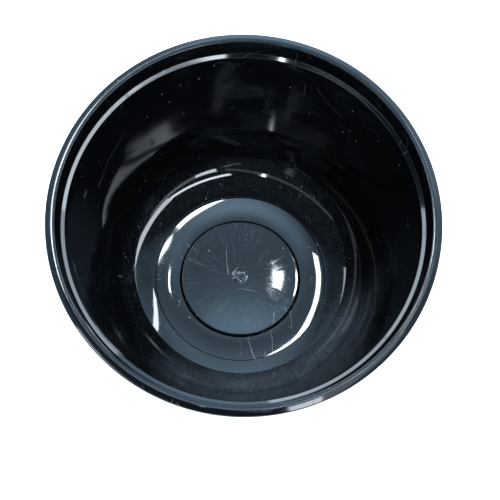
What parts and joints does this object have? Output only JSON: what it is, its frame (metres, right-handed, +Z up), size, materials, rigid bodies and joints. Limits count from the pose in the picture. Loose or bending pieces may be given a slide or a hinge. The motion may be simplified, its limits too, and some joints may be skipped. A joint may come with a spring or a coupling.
{
  "type": "hair colour bowl",
  "caption": "Round salon tint bowl with a rolled rim, an inner lid ledge, a tapered wall and a non-slip base ring, for mixing and holding hair colour.",
  "frame": {"origin": "on the bowl's axis, at the plane it stands on, under the non-slip ring", "axes": "+Z up along the bowl's axis to the rim; +Y away from a viewer who looks at the front, +X to their right"},
  "size_m": [0.13, 0.13, 0.078],
  "materials": {
    "bowl_plastic": "glossy black polypropylene with fine scratches",
    "ring_rubber": "matt black thermoplastic rubber"
  },
  "bodies": {
    "root": {"bowl_shell": "bowl_plastic", "non_slip_ring": "ring_rubber"}
  },
  "joints": []
}
